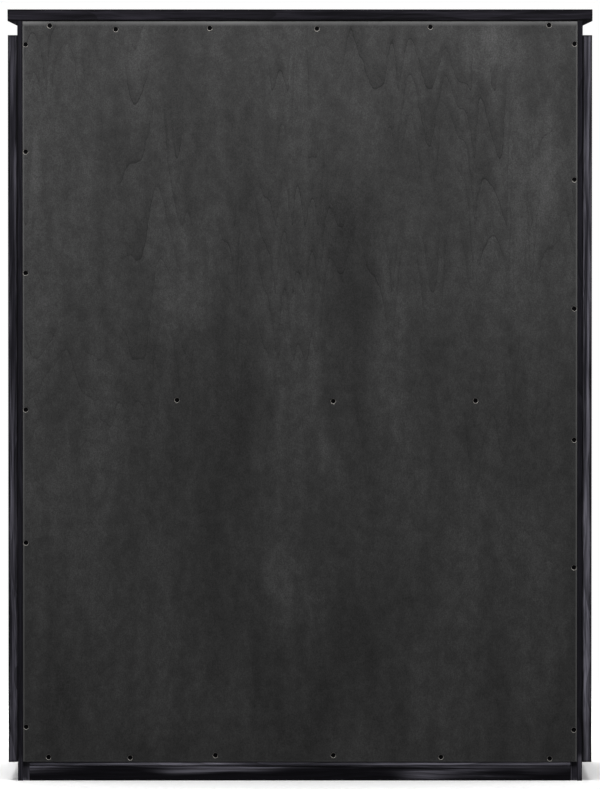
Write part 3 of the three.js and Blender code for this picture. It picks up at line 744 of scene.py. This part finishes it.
# The bit that is cut out of this head lies inside it, so the face of a pan head is plain.
PAN = 3.6  # pan head's radius
PAN_HEAD = ((0, 1.9), (2, 1.8), (3.2, 1.1), (PAN, 0), (1.9, 0), (1.9, -9), (0, -10))
pull_screw = screw("pan_head_screw", PAN_HEAD, PAN, slot_depth=-0.4)
zinc = plated_steel("bright_zinc_plated_steel", "#b9bcc0", 0.35, 1.0)
for number in DRAWERS:
    low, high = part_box(f"drawer_{number}_pull")
    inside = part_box(f"drawer_{number}_front")[1].y
    repeated(
        f"drawer_{number}_pull_screws",
        pull_screw,
        [(sign * PULL_CENTRES / 2, inside, (low.z + high.z) / 2) for sign in (-1, 1)],
        zinc,
        f"drawer_{number}",
        most=(0, math.pi, 0),
    )

# ------------------------------------------------------------------------------------------ drawer glides
# White nylon buttons with a hidden pin, knocked into the front of each board, one near each end. The drawer's
# sides run on them, a millimetre clear of the wood.


def moulded_nylon(name):
    """Moulded nylon, milky and slightly waxy, scuffed grey along the way that the drawer runs."""
    material, tree, output = new_material(name)
    place = add(tree, "ShaderNodeTexCoord").outputs["Object"]
    run = {0: place, 1: (1500, 120, 400)}
    along = add(tree, "ShaderNodeVectorMath", run, operation="MULTIPLY").outputs[0]
    scuffs = add(tree, "ShaderNodeTexNoise", {"Vector": along, "Scale": 1, "Detail": 2}).outputs["Fac"]
    worn = add(tree, "ShaderNodeMapRange", {0: scuffs, 1: 0.45, 2: 0.7, 4: 0.6}).outputs[0]
    clean, scuffed = linear("#e9e6dc"), linear("#b9b4a8")
    colour = add(tree, "ShaderNodeMix", {0: worn, 6: clean, 7: scuffed}, data_type="RGBA").outputs[2]
    inputs = {"Base Color": colour, "Roughness": 0.4, "IOR": 1.53, "Subsurface Weight": 0.1}
    surface = add(tree, "ShaderNodeBsdfPrincipled", inputs)
    tree.links.new(surface.outputs[0], output.inputs[0])
    return material


nylon = moulded_nylon("moulded_nylon")
GLIDE = ((0, 0.9), (4.2, 0.85), (5.6, 0.55), (6, 0), (0, 0))
GLIDE_IN = 14 * MM  # from the case's front edge
GLIDE_GAP = 1 * MM  # from the drawer's side to the board below
glide = new_piece("glide", turned("glide", GLIDE, sides=24))
places = []
for number in DRAWERS:
    low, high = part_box(f"drawer_{number}_side_right")
    runner = (low.x + high.x) / 2
    board_top = low.z - GLIDE_GAP
    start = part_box("side_panel_right")[0].y
    places += [(sign * runner, start + GLIDE_IN, board_top) for sign in (-1, 1)]
upright = (math.pi / 2, 0, 0)  # the pattern is turned about Y, and the buttons stand up
repeated("drawer_glides", glide, places, nylon, "carcass", least=upright, most=upright)
bpy.data.objects.remove(glide)

# ------------------------------------------------------------------------------------------ drawer stops
# Two birch blocks are glued under the front of the board above each drawer. A rounded birch button on the
# drawer's back turns up behind each of them, and turns flat to let the drawer out.

BLOCK_LONG, BLOCK_DEEP, BLOCK_HIGH = 80 * MM, 28 * MM, 10 * MM
STOP_APART = 300 * MM
BUTTON_LONG, BUTTON_WIDE, BUTTON_THICK = 64 * MM, 22 * MM, 8 * MM
CLEAR = 1 * MM
birch = lacquered_wood("clear_lacquered_birch", "#d6bd95", "#b99a6c", "#a8875a")


def sawn_block(low, high):
    bm = bmesh.new()
    bmesh.ops.create_cube(bm, size=1)
    for vertex in bm.verts:
        vertex.co = [(l + h) / 2 + c * (h - l) for c, l, h in zip(vertex.co, low, high)]
    return bm


def rounded_button(low, high):
    """A flat bar with round ends, its outline in XZ."""
    bm = bmesh.new()
    radius = (high.x - low.x) / 2
    middle = (low.x + high.x) / 2
    outline = []
    steps = 12
    for end, turn in ((high.z - radius, 0), (low.z + radius, math.pi)):
        for step in range(steps + 1):
            angle = turn + math.pi * step / steps
            x, z = middle + radius * math.cos(angle), end + radius * math.sin(angle)
            outline.append(bm.verts.new((x, low.y, z)))
    face = bm.faces.new(outline)
    grown_part = bmesh.ops.extrude_face_region(bm, geom=[face])["geom"]
    moved = [part for part in grown_part if isinstance(part, bmesh.types.BMVert)]
    bmesh.ops.translate(bm, vec=(0, high.y - low.y, 0), verts=moved)
    bmesh.ops.recalc_face_normals(bm, faces=bm.faces)
    return bm


for number in DRAWERS:
    above = "top_front_rail" if number == 1 else f"divider_{number - 1}"
    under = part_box(above)[0].z
    travel = next(j for j in frame["joints"] if j["name"] == f"drawer_{number}_slide")["range_m"][1]
    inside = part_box(f"drawer_{number}_back")[0].y
    screws = []
    for side, sign in (("left", -1), ("right", 1)):
        x = sign * STOP_APART
        stop = inside - BUTTON_THICK - travel - CLEAR
        low = Vector((x - BLOCK_LONG / 2, stop - BLOCK_DEEP, under - BLOCK_HIGH))
        high = Vector((x + BLOCK_LONG / 2, stop, under))
        name = f"drawer_{number}_stop_block_{side}"
        finished(name, sawn_block(low, high), low, high, "XYZ", birch, "drawer_wood", "carcass", 0.6)
        top = under - 2 * CLEAR
        low = Vector((x - BUTTON_WIDE / 2, inside - BUTTON_THICK, top - BUTTON_LONG))
        high = Vector((x + BUTTON_WIDE / 2, inside, top))
        name = f"drawer_{number}_stop_button_{side}"
        body = f"drawer_{number}"
        finished(name, rounded_button(low, high), low, high, "ZXY", birch, "drawer_wood", body, 1)
        screws.append((x, inside - BUTTON_THICK, top - BUTTON_LONG / 2))
    turns = (0, 0, math.pi), (0, math.pi, math.pi)  # their heads face the drawer's front
    repeated(f"drawer_{number}_button_screws", pull_screw, screws, zinc, f"drawer_{number}", *turns)
bpy.data.objects.remove(pull_screw)

# ------------------------------------------------------------------------------------------ studio
# A pale floor, softboxes behind, before, above and beside the chest, and a camera square to its back, a
# little lower than its top and far enough away that the sides stay out of sight.

PAPER_RADIUS = 2.6
paper = bmesh.new()
bmesh.ops.create_circle(paper, cap_ends=True, radius=PAPER_RADIUS, segments=96)
sheet = bpy.data.meshes.new("floor")
paper.to_mesh(sheet)
paper.free()
floor = new_piece("studio_floor", sheet)
floor.visible_diffuse = False
floor.visible_glossy = False
floor_paint, tree, output = new_material("matt_white_paint")
place = add(tree, "ShaderNodeTexCoord").outputs["Object"]
away = add(tree, "ShaderNodeVectorMath", {0: place}, operation="LENGTH").outputs["Value"]
fade = {0: away, 1: 1, 2: PAPER_RADIUS}
gone = add(tree, "ShaderNodeMapRange", fade, interpolation_type="SMOOTHSTEP").outputs[0]
paint = add(tree, "ShaderNodeBsdfPrincipled", {"Base Color": linear("#f4f4f4"), "Roughness": 0.9}).outputs[0]
clear = add(tree, "ShaderNodeBsdfTransparent").outputs[0]
surface = add(tree, "ShaderNodeMixShader", {0: gone, 1: paint, 2: clear})
tree.links.new(surface.outputs[0], output.inputs[0])
sheet.materials.append(floor_paint)


def softbox(name, place, target, width, height, power, mirrored=True):
    """A soft rectangular lamp. One that isn't mirrored lights the sides without glare across the top."""
    light = bpy.data.lights.new(name, "AREA")
    light.shape = "RECTANGLE"
    light.size = width
    light.size_y = height
    light.energy = power
    lamp = bpy.data.objects.new(name, light)
    lamp.location = place
    lamp.rotation_euler = (Vector(target) - Vector(place)).to_track_quat("-Z", "Y").to_euler()
    lamp.visible_camera = False
    lamp.visible_glossy = mirrored
    bpy.context.scene.collection.objects.link(lamp)


middle_height = cad_box[1].z / 2
centre = (0, 0, middle_height)
softbox("softbox_back", (0, 2.0, 2.75), centre, 2.2, 0.8, 62)
softbox("softbox_front", (0.4, -2.1, 2.6), centre, 2.2, 0.8, 90)
softbox("softbox_right", (2.5, -0.2, 2.2), centre, 1.4, 1.0, 34, mirrored=False)
softbox("softbox_left", (-2.5, -0.2, 2.2), centre, 1.4, 1.0, 34, mirrored=False)
softbox("softbox_above", (0, 0, 3.2), (0, 0, 0), 2.4, 2.4, 60)

world = bpy.data.worlds.new("studio")
bpy.context.scene.world = world
world.use_nodes = True
tree = world.node_tree
tree.nodes.clear()
seen = add(tree, "ShaderNodeLightPath").outputs["Is Camera Ray"]
ambient = add(tree, "ShaderNodeBackground", {"Color": (1, 1, 1, 1), "Strength": 0.16}).outputs[0]
backdrop = add(tree, "ShaderNodeBackground", {"Color": (1, 1, 1, 1), "Strength": 1.0}).outputs[0]
mixed = add(tree, "ShaderNodeMixShader", {0: seen, 1: ambient, 2: backdrop}).outputs[0]
add(tree, "ShaderNodeOutputWorld", {0: mixed})

IMAGE = (600, 789)
CHEST_IN_FRAME = 584.5  # the chest's width in the frame, in IMAGE's units
LENS = 400
SENSOR = 36
EYE_HEIGHT = 1.12
AIM_ABOVE = 1.8 * MM  # above the middle of the back
back_plane = cad_box[1].y
chest_width = cad_box[1].x - cad_box[0].x
distance = LENS / SENSOR * IMAGE[1] / CHEST_IN_FRAME * chest_width
camera_data = bpy.data.cameras.new("camera")
camera_data.lens = LENS
camera_data.sensor_width = SENSOR
camera = bpy.data.objects.new("camera", camera_data)
camera.location = (0, back_plane + distance, EYE_HEIGHT)
aim = Vector((0, back_plane, middle_height + AIM_ABOVE)) - camera.location
camera.rotation_euler = aim.to_track_quat("-Z", "Y").to_euler()
bpy.context.scene.collection.objects.link(camera)
bpy.context.scene.camera = camera
bpy.context.scene.view_settings.view_transform = "Standard"
